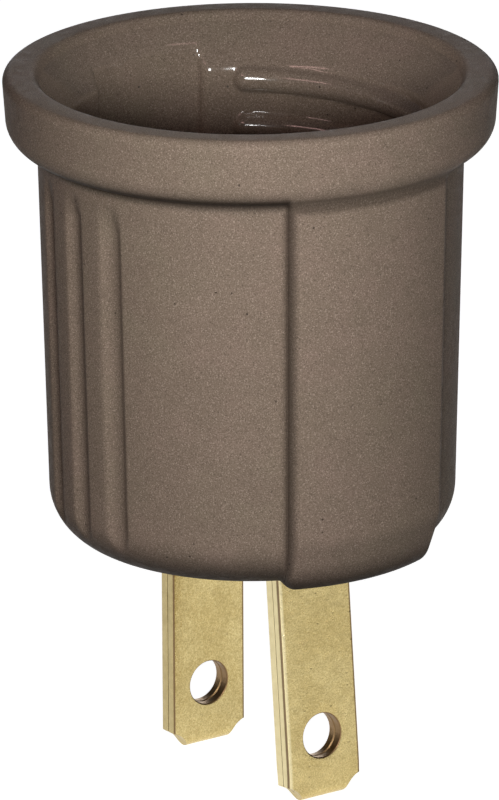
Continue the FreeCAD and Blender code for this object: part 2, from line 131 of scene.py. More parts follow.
# Painted shade along the panels' upright walls: how much, how far it reaches to either side of its middle,
# and how far that middle lies on the panel's side of the wall. It fades out just above the crease.
WALL_SHADE = 0.62
WALL_SHADE_REACH = 0.75
WALL_SHADE_SHIFT = 0.12
WALL_SHADE_END = 0.4
WALL_SHADE_FADE = 0.6
# Rubbed wear on the flange's brow, the mouth's lip and the thread's crests: how much, how deep the
# rubbed zone is, and the distance over which it sets in.
# On the brow and the lip the pale wear also paints in glints: a painted highlight.
BROW_WEAR_AND_GLINT, BROW_WEAR_AND_GLINT_DEPTH, BROW_WEAR_AND_GLINT_FADE = 0.12, 0.7, 0.5
LIP_WEAR_AND_GLINT, LIP_WEAR_AND_GLINT_DEPTH, LIP_WEAR_AND_GLINT_FADE = 0.35, 0.5, 0.3
CREST_WEAR, CREST_WEAR_DEPTH, CREST_WEAR_FADE = 0.7, 0.25, 0.2
CREST_WEAR_ABOVE_FLOOR = 1

# Blades.
# The front blade is at -Y and the rear one at +Y. The front one leans, and from inside its slot.
FRONT, REAR = -1, 1
BLADE_OFFSET = {FRONT: 6.80, REAR: 6.50}
BLADE_LEAN = {FRONT: 5.1, REAR: 0.0}
BLADE_HALF_WIDTH = 3.2
BLADE_LENGTH = 18.4
LEAF = 0.72
LEAF_OFFSET = 0.39
# The left edge of the face that the camera sees was rolled over in shearing. The others are crisp.
ROLLED_EDGE_ROUND = {FRONT: 0.40, REAR: 0.24}
CRISP_EDGE_ROUND = 0.09
# Where, across a blade, the bright band of painted highlight starts and is full, and where the dark line
# of painted shade at the border starts and ends. The line fades in before its start and out beyond its end.
HIGHLIGHT_START, HIGHLIGHT_END = 2.72, 2.92
BORDER_START, BORDER_END = 3.06, 3.13
BORDER_FADE_IN, BORDER_FADE_OUT = 0.05, 0.04
# The band of painted highlight is full on the front blade and gone on the rear one, this far from the axis.
HIGHLIGHT_SIDE = 2
HOLE_RADIUS = 1.66
HOLE_TO_TIP = 4.76
HOLE_FLARE = 0.12
NOTCH_RADIUS = 1.9
NOTCH_OFFSET = 0.5
COIN_START = 16.1
COIN_DEPTH = 0.05
COIN_FADE = 0.25
LEAF_BEND = 0.54
SIDE_BEND = 0.74
BOW_BEND = 8.0
LEAN_BEND = 3.0
ANCHOR_REACH = 3.0
TONGUE_FLAT = 1.2
TONGUE_OVERSHOOT = 2.0
TONGUE_HEIGHT = 3.3
TONGUE_HALF_WIDTH = 1.9
TONGUE_END_ROUND = 1.4
TONGUE_END_SHARE = 0.9
TONGUE_LENGTH = 6.2
TONGUE_TAPER = 1.2
SIDE_CLEARANCE = 0.08
SIDE_STRAIGHT = 9.5
SIDE_BOW_HEIGHT = 15.0
SIDE_TOP = 18.0
SIDE_BOW = 0.35
SIDE_FLARE = 0.3
CUTTER_SIDES = 72
CUTTER_OVERSHOOT = 1
BLADE_SHARP_ANGLE = 38
# Raw metal shows this much on sheared edges, from this sideways slope on and over this much slope.
SHEARED, SHEARED_FROM, SHEARED_OVER = 0.8, 0.35, 0.45
# A face belongs to the wall of a hole or notch where it faces outward by less than these shares.
HOLE_WALL_FACING, NOTCH_WALL_FACING = 0.9, 0.5
HOLE_MARK_MARGIN = 0.05


# Lines, arcs and roundings of a profile, as arrays of two columns.

def fillet(before, corner, after, radius, count):
    """The rounding of one corner, from tangent point to tangent point."""
    before, corner, after = (np.array(point, float) for point in (before, corner, after))
    back = (before - corner) / np.linalg.norm(before - corner)
    ahead = (after - corner) / np.linalg.norm(after - corner)
    half = math.acos(np.clip(back @ ahead, -1, 1)) / 2
    if math.pi - 2 * half < 1e-6:
        return corner[None, :]
    middle = back + ahead
    centre = corner + middle / np.linalg.norm(middle) * radius / math.sin(half)
    first = corner + back * radius / math.tan(half) - centre
    last = corner + ahead * radius / math.tan(half) - centre
    sweep = math.pi - 2 * half
    steps = np.linspace(0, sweep, count)[:, None]
    return centre + (first * np.sin(sweep - steps) + last * np.sin(steps)) / math.sin(sweep)


def arc(centre, radius, start, end, count):
    """An arc between two angles in degrees."""
    angles = np.radians(np.linspace(start, end, count))
    return np.array(centre, float) + radius * np.stack([np.cos(angles), np.sin(angles)], 1)


def chain(*parts):
    """Points and lines end to end, without doubled points."""
    points = np.concatenate([np.atleast_2d(np.asarray(part, float)) for part in parts])
    apart = np.linalg.norm(np.diff(points, axis=0), axis=1) > 1e-7
    return points[np.concatenate([[True], apart])]


def respaced(points, count):
    """The same line with evenly spaced points."""
    points = chain(points)
    along = np.concatenate([[0], np.cumsum(np.linalg.norm(np.diff(points, axis=0), axis=1))])
    wanted = np.linspace(0, along[-1], count)
    return np.stack([np.interp(wanted, along, points[:, axis]) for axis in range(2)], 1)


def smooth_least(first, second, blend):
    """The lesser of two values, rounded where they cross."""
    share = np.clip(0.5 + 0.5 * (second - first) / blend, 0, 1)
    return second * (1 - share) + first * share - blend * share * (1 - share)


def smooth_most(first, second, blend):
    """The greater of two values, rounded where they cross."""
    return -smooth_least(-first, -second, blend)


def ease(value):
    """0 to 1 with level ends."""
    value = np.clip(value, 0, 1)
    return value * value * (3 - 2 * value)


def step_down(across, height, edge_round, root_round, edge_width, root_width):
    """Drop from the high side (across below 0) to the low side of a rounded step."""
    edge = np.minimum(edge_round, STEP_EDGE_SHARE * height)
    root = np.minimum(root_round, (1 - STEP_EDGE_SHARE) * height)
    on_edge = np.clip((across + edge_width) / edge_width, 0, 1)
    on_root = np.clip((across - WALL_LEAN) / root_width, 0, 1)
    on_wall = np.clip(across / WALL_LEAN, 0, 1)
    over_edge = edge * (1 - np.sqrt(1 - on_edge ** 2))
    into_root = root * np.sqrt(1 - (1 - on_root) ** 2)
    return over_edge + (height - edge - root) * on_wall + into_root


# Columns of the cup: azimuths from the middle of a panel to the middle of a plain side.

def full_circle(quarter):
    """A quarter turn of azimuths, mirrored and turned into a whole circle."""
    half = np.concatenate([quarter, 180 - quarter[-2::-1]])
    return np.concatenate([half[:-1], half[:-1] + 180])


def from_panel(azimuths):
    """Degrees from the middle of the nearest panel or pocket, which lie at 0 and 180."""
    return np.abs((azimuths + 90) % 180 - 90)


def bands(*stops):
    """Azimuths through stops given as (angle, how many steps lead up to it)."""
    columns = [np.array([stops[0][0]])]
    for (start, _), (end, count) in zip(stops, stops[1:]):
        columns.append(np.linspace(start, end, count + 1)[1:])
    return np.concatenate(columns)


def step_columns(middle, radius, edge_width, root_width, edge_count, root_count, high_side):
    """Azimuths that follow a rounded step. high_side is -1 where the high side comes first."""
    edge = -edge_width + edge_width * np.sin(np.radians(np.linspace(0, 90, edge_count)))
    root = WALL_LEAN + root_width * (1 - np.cos(np.radians(np.linspace(0, 90, root_count))))
    across = np.concatenate([edge, root])
    return np.sort(middle - high_side * np.degrees(across / radius))


OUTER_COLUMNS = full_circle(np.concatenate([
    bands((0, 0), (21.6, 13)),
    step_columns(PANEL_HALF_ANGLE, PANEL_TOP_RADIUS, PANEL_EDGE_ROUND, PANEL_ROOT_ROUND, 11, 8, -1),
    bands((28, 0), (69.6, 15), (80, 21), (84.6, 4), (90, 11)),
]))
INNER_COLUMNS = full_circle(np.concatenate([
    bands((0, 0), (17.4, 9)),
    step_columns(POCKET_HALF_ANGLE, POCKET_RADIUS, POCKET_EDGE_ROUND, POCKET_ROOT_ROUND, 10, 6, 1),
    bands((23.6, 0), (28.8, 6), (34.8, 16), (90, 36)),
]))


# Rows of the cup's outside: for each row a point on the plain side and one on a panel.

def side_point(foot_radius, foot_height, top_radius, height):
    """A point of a drafted side."""
    share = (height - foot_height) / (UNDERSIDE - foot_height)
    return foot_radius + (top_radius - foot_radius) * share, height


def outside_rows():
    """Two profiles from foot to brow with matching rows: one on a plain side, one on a panel."""
    side_start, side_end = 5.0, 28.6
    foot_rows, side_rows, crease_rows = 32, 26, 28
    body_side = (BODY_FOOT_RADIUS, 0, BODY_TOP_RADIUS)
    panel_side = (PANEL_FOOT_RADIUS, CHIN_HEIGHT, PANEL_TOP_RADIUS)
    body_top = (BODY_TOP_RADIUS, UNDERSIDE)
    panel_top = (PANEL_TOP_RADIUS, UNDERSIDE)
    body_corner = (BODY_FOOT_RADIUS, 0)
    chin, knee = (CHIN_RADIUS, 0), (PANEL_FOOT_RADIUS, CHIN_HEIGHT)
    foot_arc = fillet((0, 0), body_corner, body_top, BODY_ROUND, 24)
    body_foot = chain(foot_arc, side_point(*body_side, side_start))
    panel_foot = chain(
        foot_arc[0],
        fillet((0, 0), chin, knee, CHIN_ROUND, 16),
        fillet(chin, knee, panel_top, KNEE_ROUND, 10),
        side_point(*panel_side, side_start),
    )
    centre = (FLANGE_LOW_RADIUS - FLANGE_UNDER_ROUND, UNDERSIDE + FLANGE_UNDER_ROUND)
    run_out = -54.6
    under = arc(centre, FLANGE_UNDER_ROUND, -90, run_out, 14)
    body_crease = chain(
        side_point(*body_side, side_end),
        fillet(body_corner, body_top, under[0], CREASE_ROUND, 7),
        under,
    )
    hollow_drop, hollow_end = 0.444, 125.5
    hollow_centre = (PANEL_TOP_RADIUS + PANEL_BLEND, UNDERSIDE - hollow_drop)
    panel_hollow = chain(
        side_point(*panel_side, side_end),
        arc(hollow_centre, PANEL_BLEND, 180, hollow_end, 14),
        under[-1],
    )
    low, top = (FLANGE_LOW_RADIUS, centre[1]), (FLANGE_TOP_RADIUS, SOCKET_TOP)
    brow = fillet(low, top, (0, SOCKET_TOP), FLANGE_TOP_ROUND, 9)
    flange = chain(arc(centre, FLANGE_UNDER_ROUND, run_out, 0, 14), respaced([low, brow[0]], 6), brow)
    sides = []
    for foot, crease in ((body_foot, body_crease), (panel_foot, panel_hollow)):
        side = respaced([foot[-1], crease[0]], side_rows)
        foot, crease = respaced(foot, foot_rows), respaced(crease, crease_rows)
        sides.append(np.concatenate([foot, side[1:], crease[1:], flange[1:]]))
    return sides


def outside_grid():
    """Radius and height of every point of the outside, rows by columns."""
    body, panel = outside_rows()
    angle = from_panel(OUTER_COLUMNS)
    across = np.radians(angle - PANEL_HALF_ANGLE) * PANEL_TOP_RADIUS
    rise = np.linalg.norm(panel - body, axis=1)[:, None]
    drop = step_down(
        across[None, :], rise, PANEL_EDGE_ROUND, PANEL_ROOT_ROUND, PANEL_EDGE_ROUND, PANEL_ROOT_ROUND
    )
    share = np.clip(drop / np.maximum(rise, 1e-6), 0, 1)
    radius = panel[:, :1] + (body - panel)[:, :1] * share
    height = panel[:, 1:] + (body - panel)[:, 1:] * share
    drafted = BODY_FOOT_RADIUS + (BODY_TOP_RADIUS - BODY_FOOT_RADIUS) * height / UNDERSIDE
    for flute in FLUTE_ANGLES:
        sideways = drafted * np.radians((OUTER_COLUMNS % 180) - flute)[None, :]
        above = np.maximum(height - FLUTE_TOP, 0)
        reach = FLUTE_RADIUS ** 2 - sideways ** 2 - above ** 2
        groove = drafted + FLUTE_RADIUS - FLUTE_DEPTH - np.sqrt(np.maximum(reach, 0))
        cut = smooth_least(radius, groove, FLUTE_BLEND)
        radius = np.where((reach > 0) & (height < UNDERSIDE - FLUTE_BELOW_FLANGE), cut, radius)
    return radius, height


def inside_grid():
    """The same for the inside, from the mouth's lip down to the floor."""
    lip = fillet((FLANGE_TOP_RADIUS, SOCKET_TOP), (MOUTH_RADIUS, SOCKET_TOP),
                 (BORE_RADIUS, FUNNEL_FOOT), MOUTH_ROUND, LIP_ROWS)
    foot = fillet((MOUTH_RADIUS, SOCKET_TOP), (BORE_RADIUS, FUNNEL_FOOT),
                  (BORE_RADIUS, 0), FUNNEL_FOOT_ROUND, 7)
    thread_end, low_end = 15.2, FLOOR_HEIGHT + FLOOR_ROUND
    funnel_rows, thread_rows, low_rows = 9, 98, 11
    rows = np.concatenate([
        lip,
        respaced([lip[-1], foot[0]], funnel_rows)[1:],
        foot[1:],
        respaced([foot[-1], (BORE_RADIUS, thread_end)], thread_rows)[1:],
        respaced([(BORE_RADIUS, thread_end), (BORE_RADIUS, low_end)], low_rows)[1:],
    ])
    base, height = rows[:, :1], rows[:, 1:]
    angle = from_panel(INNER_COLUMNS)
    across = np.radians(POCKET_HALF_ANGLE - angle) * POCKET_RADIUS
    depth = smooth_most(base, np.full_like(base, POCKET_RADIUS), POCKET_TOP_BLEND) - base
    depth = np.where(height > FUNNEL_FOOT + POCKET_TOP_RISE, 0, depth)
    radius = base + step_down(
        across[None, :], depth, POCKET_EDGE_ROUND, POCKET_ROOT_ROUND, POCKET_EDGE_ROUND, POCKET_ROOT_ROUND
    )
    height = np.broadcast_to(height, radius.shape).copy()
    signed = (INNER_COLUMNS + 180) % 360 - 180
    for middle, lag in ((90, 0), (-90, 0.5)):
        turn = (signed - middle + 180) % 360 - 180
        beyond = np.maximum(np.abs(turn) - RIDGE_HALF_ANGLE, 0)
        held = np.clip(turn, -RIDGE_HALF_ANGLE, RIDGE_HALF_ANGLE)
        for row in range(RIDGES_PER_SIDE):
            line = RIDGE_MIDDLE + PITCH * (held / 360 - row - lag)
            away = np.hypot(height - line[None, :], (np.radians(beyond) * RIDGE_CENTRE)[None, :])
            inner = np.sqrt(np.maximum(RIDGE_RADIUS ** 2 - away ** 2, 0))
            ridge = RIDGE_CENTRE - inner + np.maximum(away - RIDGE_RADIUS, 0) * RIDGE_OUTSIDE_SLOPE
            radius = smooth_least(radius, ridge, RIDGE_ROOT_BLEND)
    turn_in = np.radians(np.linspace(0, 90, 6)[1:])[:, None]
    floor_radius = radius[-1:] - FLOOR_ROUND * (1 - np.cos(turn_in))
    floor_height = np.broadcast_to(low_end - FLOOR_ROUND * np.sin(turn_in), floor_radius.shape)
    return np.concatenate([radius, floor_radius]), np.concatenate([height, floor_height])


# Meshes.

class Shell:
    """Points and faces gathered part by part. Every point has measures, such as how worn it is."""

    def __init__(self, *measures):
        self.points, self.faces = [], []
        self.measures = {name: [] for name in measures}

    def add(self, points, **values):
        """New points, and their numbers in the shape they came in."""
        points = np.asarray(points, float)
        count = int(np.prod(points.shape[:-1]))
        numbers = np.arange(len(self.points), len(self.points) + count).reshape(points.shape[:-1])
        self.points.extend(map(tuple, points.reshape(-1, 3)))
        for name, measure in self.measures.items():
            measure.extend(np.broadcast_to(values.get(name, 0.0), points.shape[:-1]).reshape(-1))
        return numbers

    def skin(self, numbers):
        """Four-sided faces over a grid of rows of closed rings."""
        after = np.roll(numbers, -1, axis=1)
        quads = np.stack([numbers[:-1], after[:-1], after[1:], numbers[1:]], -1)
        self.faces.extend(map(tuple, quads.reshape(-1, 4).tolist()))

    def tube(self, numbers):
        """A skin with each of its two ends closed by one face."""
        self.skin(numbers)
        self.faces.append(tuple(numbers[0].tolist()))
        self.faces.append(tuple(numbers[-1].tolist()))

    def flat(self, rings):
        """Triangles over the level area between one outer ring and any rings inside it."""
        numbers = np.concatenate(rings)
        places = np.array([self.points[number][:2] for number in numbers])
        edges, start = [], 0
        for ring in rings:
            count = len(ring)
            edges += [(start + index, start + (index + 1) % count) for index in range(count)]
            start += count
        made = delaunay_2d_cdt([Vector(place) for place in places], edges, [], 1, 1e-7)
        origin = np.array([inputs[0] for inputs in made[3]])
        triangles = origin[np.array(made[2])]
        middles = places[triangles].mean(1)
        # A triangle belongs to the area where a line to its right crosses the rings an odd number of times.
        first, last = (places[[edge[end] for edge in edges]] for end in (0, 1))
        above = (first[None, :, 1] > middles[:, None, 1]) != (last[None, :, 1] > middles[:, None, 1])
        rise = np.where(last[:, 1] == first[:, 1], 1, last[:, 1] - first[:, 1])
        share = (middles[:, None, 1] - first[None, :, 1]) / rise
        crossing = first[None, :, 0] + share * (last - first)[None, :, 0]
        crossed = (above & (crossing > middles[:, None, 0])).sum(1)
        kept = numbers[triangles[crossed % 2 == 1]]
        self.faces.extend(map(tuple, kept.tolist()))

    def mesh(self, name):
        """The gathered faces as a mesh, in millimetres."""
        made = bpy.data.meshes.new(name)
        made.from_pydata(self.points, [], self.faces)
        for measure, values in self.measures.items():
            attribute = made.attributes.new(measure, "FLOAT", "POINT")
            attribute.data.foreach_set("value", np.array(values, np.float32))
        return made


def placed(name, mesh):
    """An object from a mesh, with its faces turned outward."""
    work = bmesh.new()
    work.from_mesh(mesh)
    bmesh.ops.recalc_face_normals(work, faces=work.faces)
    work.to_mesh(mesh)
    work.free()
    made = bpy.data.objects.new(name, mesh)
    bpy.context.scene.collection.objects.link(made)
    return made


def finished(mesh, sharp_angle):
    """Bring a mesh from millimetres to metres, smooth up to an angle."""
    mesh.transform(Matrix.Scale(MM, 4))
    mesh.shade_smooth()
    mesh.set_sharp_from_angle(angle=math.radians(sharp_angle))


def around(radius, azimuths, height):
    """Points at a radius, an azimuth in degrees and a height."""
    angle = np.radians(np.broadcast_to(azimuths, radius.shape))
    return np.stack([radius * np.sin(angle), -radius * np.cos(angle), height], -1)


def slot_ring(side, height):
    """The outline of one blade slot."""
    across = SLOT_HALF_WIDTH
    inner, outer = (BLADE_OFFSET[side] + face for face in (SLOT_INNER, SLOT_OUTER))
    corners = [(-across, inner), (across, inner), (across, outer), (-across, outer)]
    ring = []
    for index, corner in enumerate(corners):
        ring.append(fillet(corners[index - 1], corner, corners[(index + 1) % 4], SLOT_CORNER_ROUND, 5))
    ring = np.concatenate(ring)
    return np.stack([ring[:, 0], side * ring[:, 1], np.full(len(ring), height)], -1)


def grime(radius, height):
    """How dark the painted shade lies on the outside: in the crease, on the foot and beside the panels'
    walls.
    """
    across = np.radians(from_panel(OUTER_COLUMNS) - PANEL_HALF_ANGLE)[None, :] * PANEL_TOP_RADIUS
    on_panel = ease(0.5 - across / PANEL_ROOT_ROUND)
    from_crease = height - UNDERSIDE + PANEL_CREASE_DROP * on_panel
    reach = np.where(from_crease > 0, CREASE_SHADE_ABOVE, CREASE_SHADE_BELOW)
    reach = reach * (1 - PANEL_CREASE_SHORTER * on_panel)
    under = ease(CREASE_SHADE_PEAK - CREASE_SHADE_PEAK * np.abs(from_crease) / reach)
    under = (1 - PANEL_CREASE_PALER * on_panel) * under
    inward = ease((FLANGE_LOW_RADIUS - radius) / FLANGE_SHADE_FADE)
    foot_top = FOOT_SHADE_TOP * (1 - PANEL_FOOT_LOWER * on_panel)
    foot = FOOT_SHADE * ease(1 - height / foot_top)
    beside = WALL_SHADE * ease(1 - np.abs(across + WALL_SHADE_SHIFT) / WALL_SHADE_REACH)
    beside = beside * ease((UNDERSIDE + WALL_SHADE_END - height) / WALL_SHADE_FADE)
    return np.maximum(np.maximum(under * inward, foot), beside)


def make_housing():
    shell = Shell("worn", "grime")
    radius, height = outside_grid()
    # The outside gets painted shade, and pale wear that on the brow also paints in glints: a painted
    # highlight.
    brow = BROW_WEAR_AND_GLINT * ease((height - (SOCKET_TOP - BROW_WEAR_AND_GLINT_DEPTH)) / BROW_WEAR_AND_GLINT_FADE)
    outside = shell.add(around(radius, OUTER_COLUMNS, height), worn=brow, grime=grime(radius, height))
    radius, height = inside_grid()
    # On the lip the pale wear also paints in glints, a painted highlight. On the thread's crests it is
    # wear.
    lip = LIP_WEAR_AND_GLINT * ease((height - (SOCKET_TOP - LIP_WEAR_AND_GLINT_DEPTH)) / LIP_WEAR_AND_GLINT_FADE)
    crest_start = RIDGE_CENTRE - RIDGE_RADIUS + CREST_WEAR_DEPTH
    crest = CREST_WEAR * ease((crest_start - radius) / CREST_WEAR_FADE)
    crest = crest * (height > FLOOR_HEIGHT + CREST_WEAR_ABOVE_FLOOR)
    inside = shell.add(around(radius, INNER_COLUMNS, height), worn=np.maximum(lip, crest))
    shell.skin(outside)
    shell.skin(inside)
    shell.flat([outside[-1], inside[0]])
    below, above = [], []
    for side in (FRONT, REAR):
        below.append(shell.add(slot_ring(side, 0.0)))
        above.append(shell.add(slot_ring(side, FLOOR_HEIGHT)))
        shell.skin(np.stack([below[-1], above[-1]]))
    shell.flat([outside[0]] + below)
    shell.flat([inside[-1]] + above)
    piece = placed("moulded_housing", shell.mesh("moulded_housing"))
    finished(piece.data, HOUSING_SHARP_ANGLE)
    outside_look = moulding(
        "brown_moulding", specular=0.06, least_rough=0.55, most_rough=0.70, grain_depth=0.012
    )
    painted(piece, outside_look)
    # The socket's inside, below the lip, was moulded on a polished core, so it is glossier.
    inside_look = moulding(
        "polished_moulding", specular=0.9, least_rough=0.10, most_rough=0.18, grain_depth=0.001
    )
    piece.data.materials.append(inside_look)
    first, last = inside[LIP_ROWS].min(), inside.max()
    for face in piece.data.polygons:
        face.material_index = int(all(first <= number <= last for number in face.vertices))
    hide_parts("housing")
    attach(piece, "root")


# Blades. Each is one strip swept along its bends. Its path lies in a plane of (outward, height),
# where outward is the distance from the axis towards the blade's own side.

def below_floor(side, along, across):
    """A point of the blade proper: so far from the seating face, so far off its middle."""
    lean = math.radians(BLADE_LEAN[side])
    outward = BLADE_OFFSET[side] + along * math.sin(lean) + across * math.cos(lean)
    return outward, across * math.sin(lean) - along * math.cos(lean)


def bent(corners):
    """A path through corners given as (point, bend radius), with its bends rounded."""
    points = [corner[0] for corner in corners]
    parts = [points[0]]
    for index, (point, radius) in enumerate(corners[1:-1], start=1):
        parts.append(fillet(points[index - 1], point, points[index + 1], radius, 12))
    path = chain(*parts, points[-1])
    longest = 0.7
    fine = [path[:1]]
    for start, end in zip(path, path[1:]):
        count = max(1, math.ceil(np.linalg.norm(end - start) / longest))
        fine.append(start + (end - start) * np.linspace(0, 1, count + 1)[1:, None])
    return np.concatenate(fine)


def fold(side):
    """The blade's part of the path: down the outer leaf, round the tip and up the inner one."""
    tip = BLADE_LENGTH - LEAF / 2
    return [
        ((BLADE_OFFSET[side] + LEAF_OFFSET, 0), LEAN_BEND),
        (below_floor(side, tip, LEAF_OFFSET), LEAF_OFFSET),
        (below_floor(side, tip, -LEAF_OFFSET), LEAF_OFFSET),
        ((BLADE_OFFSET[side] - LEAF_OFFSET, 0), LEAN_BEND),
    ]


def centre_contact_path():
    level = FLOOR_HEIGHT + LEAF / 2
    outer, inner = BLADE_OFFSET[FRONT] + LEAF_OFFSET, BLADE_OFFSET[FRONT] - LEAF_OFFSET
    knee = inner - LEAF / 2 - TONGUE_FLAT
    anchor = outer + LEAF / 2 + ANCHOR_REACH
    corners = [((anchor, level), 0), ((outer, level), LEAF_BEND)] + fold(FRONT)
    corners += [
        ((inner, level), LEAF_BEND),
        ((knee, level), LEAN_BEND / 2),
        ((-TONGUE_OVERSHOOT, FLOOR_HEIGHT + TONGUE_HEIGHT - LEAF / 2), 0),
    ]
    return bent(corners)


def side_contact_path():
    level = FLOOR_HEIGHT + LEAF / 2
    outer, inner = BLADE_OFFSET[REAR] + LEAF_OFFSET, BLADE_OFFSET[REAR] - LEAF_OFFSET
    wall = math.sqrt(POCKET_RADIUS ** 2 - BLADE_HALF_WIDTH ** 2) - SIDE_CLEARANCE - LEAF / 2
    anchor = inner - LEAF / 2 - ANCHOR_REACH
    corners = [
        ((wall - SIDE_BOW + SIDE_FLARE, FLOOR_HEIGHT + SIDE_TOP), 0),
        ((wall - SIDE_BOW, FLOOR_HEIGHT + SIDE_BOW_HEIGHT), BOW_BEND),
        ((wall, FLOOR_HEIGHT + SIDE_STRAIGHT), BOW_BEND),
        ((wall, level), SIDE_BEND),
        ((outer, level), LEAF_BEND),
    ]
    corners += fold(REAR) + [((inner, level), LEAF_BEND), ((anchor, level), 0)]
    return bent(corners)


def section(half_width, outer_cut, left_round):
    """The strip's section as (across, towards the seam), with its outer face's left edge rolled."""
    outer, seam = -LEAF / 2 + outer_cut, LEAF / 2
    corners = [(-half_width, outer), (half_width, outer), (half_width, seam), (-half_width, seam)]
    rounds = [left_round] + [CRISP_EDGE_ROUND] * 3
    ring = []
    for index, (corner, radius) in enumerate(zip(corners, rounds)):
        ahead = corners[(index + 1) % 4]
        bend = fillet(corners[index - 1], corner, ahead, radius, 6)
        next_round = rounds[(index + 1) % 4]
        ring.append(bend)
        if index % 2 == 0:
            reach = np.sign(ahead[0] - corner[0]) * next_round
            ring.append(respaced([bend[-1], (ahead[0] - reach, ahead[1])], 8)[1:-1])
    return np.concatenate(ring)


def swept(path, side, half_widths, outer_cuts, left_rounds):
    """The strip's surface along its path."""
    ahead = np.gradient(path, axis=0)
    ahead /= np.linalg.norm(ahead, axis=1)[:, None]
    seamward = np.stack([ahead[:, 1], -ahead[:, 0]], 1)
    rings = []
    for point, normal, *sizes in zip(path, seamward, half_widths, outer_cuts, left_rounds):
        ring = section(*sizes)
        place = point + normal * ring[:, 1:]
        rings.append(np.stack([ring[:, 0], side * place[:, 0], place[:, 1]], -1))
    shell = Shell()
    shell.tube(shell.add(np.array(rings)))
    return shell


def turned_cutter(shell, side, along, across_width, profile):
    """A round tool through the blade. The profile is (radius, distance off the middle)."""
    angles = np.radians(np.linspace(0, 360, CUTTER_SIDES, endpoint=False))
    rings = []
    for radius, off in profile:
        alongs = along + radius * np.cos(angles)
        outward, height = zip(*(below_floor(side, value, off) for value in alongs))
        widths = across_width + radius * np.sin(angles)
        rings.append(np.stack([widths, side * np.array(outward), np.array(height)], -1))
    shell.tube(shell.add(np.array(rings)))


def blade_cutter(name, side):
    """The hole, flared where it meets the outer faces, and the scallops at the tip's corners."""
    shell = Shell()
    face = LEAF_OFFSET + LEAF / 2
    flare = arc((HOLE_RADIUS + HOLE_FLARE, face - HOLE_FLARE), HOLE_FLARE, 180, 90, 6)
    flare = chain(flare, (HOLE_RADIUS + HOLE_FLARE, face + CUTTER_OVERSHOOT))
    seam = LEAF_OFFSET - LEAF / 2
    low_side = flare[::-1] * (1, -1)
    lip = 0.08
    middle = [(HOLE_RADIUS, -seam - lip), (HOLE_RADIUS + lip, -seam), (HOLE_RADIUS + lip, seam),
              (HOLE_RADIUS, seam + lip)]
    turned_cutter(shell, side, BLADE_LENGTH - HOLE_TO_TIP, 0, chain(low_side, middle, flare))
    for hand in (-1, 1):
        plain = [(NOTCH_RADIUS, -2 * face), (NOTCH_RADIUS, 2 * face)]
        turned_cutter(
            shell, side, BLADE_LENGTH + NOTCH_OFFSET, hand * (BLADE_HALF_WIDTH + NOTCH_OFFSET), plain
        )
    return placed(name, shell.mesh(name))


def mark_cut_metal(mesh, side):
    """Mark the faces that were sheared or punched, which show raw reddish metal."""
    marks = np.zeros(len(mesh.loops), np.float32)
    tilt = math.radians(BLADE_LEAN[side])
    for face in mesh.polygons:
        point, normal = face.center / MM, face.normal
        sheared = SHEARED * float(ease((abs(normal.x) - SHEARED_FROM) / SHEARED_OVER))
        if point.z < 0:
            outward = side * point.y - BLADE_OFFSET[side]
            along = outward * math.sin(tilt) - point.z * math.cos(tilt)
            from_hole = math.hypot(point.x, along - (BLADE_LENGTH - HOLE_TO_TIP))
            facing = abs(side * normal.y * math.cos(tilt) + normal.z * math.sin(tilt))
            if from_hole < HOLE_RADIUS + HOLE_FLARE + HOLE_MARK_MARGIN and facing < HOLE_WALL_FACING:
                sheared = 1.0
            near_notch = along > BLADE_LENGTH - NOTCH_RADIUS
            near_notch = near_notch and abs(point.x) > BLADE_HALF_WIDTH - NOTCH_RADIUS
            if near_notch and facing < NOTCH_WALL_FACING:
                sheared = max(sheared, SHEARED)
        marks[face.loop_start:face.loop_start + face.loop_total] = sheared
    attribute = mesh.attributes.new("sheared", "FLOAT", "CORNER")
    attribute.data.foreach_set("value", marks)


def make_blade(name, node, side, seen_leaf, path, half_widths, outer_cuts):
    """A blade from its path. seen_leaf is 1 where the camera sees its outer leaf, -1 for its inner one."""
    off_middle = path[:, 0] - below_floor(side, -path[:, 1], 0)[0]
    on_seen_leaf = (path[:, 1] < 0) & (off_middle * seen_leaf > 0)
    left_rounds = np.where(on_seen_leaf, ROLLED_EDGE_ROUND[side], CRISP_EDGE_ROUND)
    strip = placed(name, swept(path, side, half_widths, outer_cuts, left_rounds).mesh(name))
    cutter = blade_cutter(f"{name}_cutter", side)
    cut = strip.modifiers.new("cut", "BOOLEAN")
    cut.operation = "DIFFERENCE"
    cut.solver = "EXACT"
    cut.use_self = True
    cut.object = cutter
    bpy.context.view_layer.update()
    evaluated = strip.evaluated_get(bpy.context.evaluated_depsgraph_get())
    mesh = bpy.data.meshes.new_from_object(evaluated)
    strip.modifiers.clear()
    strip.data = mesh
    mesh.name = name
    bpy.data.objects.remove(cutter)
    finished(mesh, BLADE_SHARP_ANGLE)
    mark_cut_metal(mesh, side)
    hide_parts(node)
    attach(strip, "root")
    return strip


def make_centre_contact():
    path = centre_contact_path()
    to_end = np.linalg.norm(np.diff(path, axis=0), axis=1)[::-1].cumsum()[::-1]
    to_end = np.concatenate([to_end, [0]])
    narrowed = ease((TONGUE_LENGTH - to_end) / TONGUE_TAPER)
    half_widths = BLADE_HALF_WIDTH + (TONGUE_HALF_WIDTH - BLADE_HALF_WIDTH) * narrowed
    rounding = np.clip((TONGUE_END_ROUND - to_end) / TONGUE_END_ROUND, 0, 1)
    rounded_off = TONGUE_END_ROUND * (1 - np.sqrt(1 - rounding ** 2)) * TONGUE_END_SHARE
    half_widths = half_widths - rounded_off
    coined = COIN_DEPTH * ease((-path[:, 1] - COIN_START) / COIN_FADE)
    return make_blade("front_blade", "centre_contact_blade", FRONT, 1, path, half_widths, coined)


def make_side_contact():
    path = side_contact_path()
    plain = np.full(len(path), BLADE_HALF_WIDTH)
    return make_blade("rear_blade", "side_contact_blade", REAR, -1, path, plain, np.zeros(len(path)))


# Materials. Colours are linear red, green and blue.

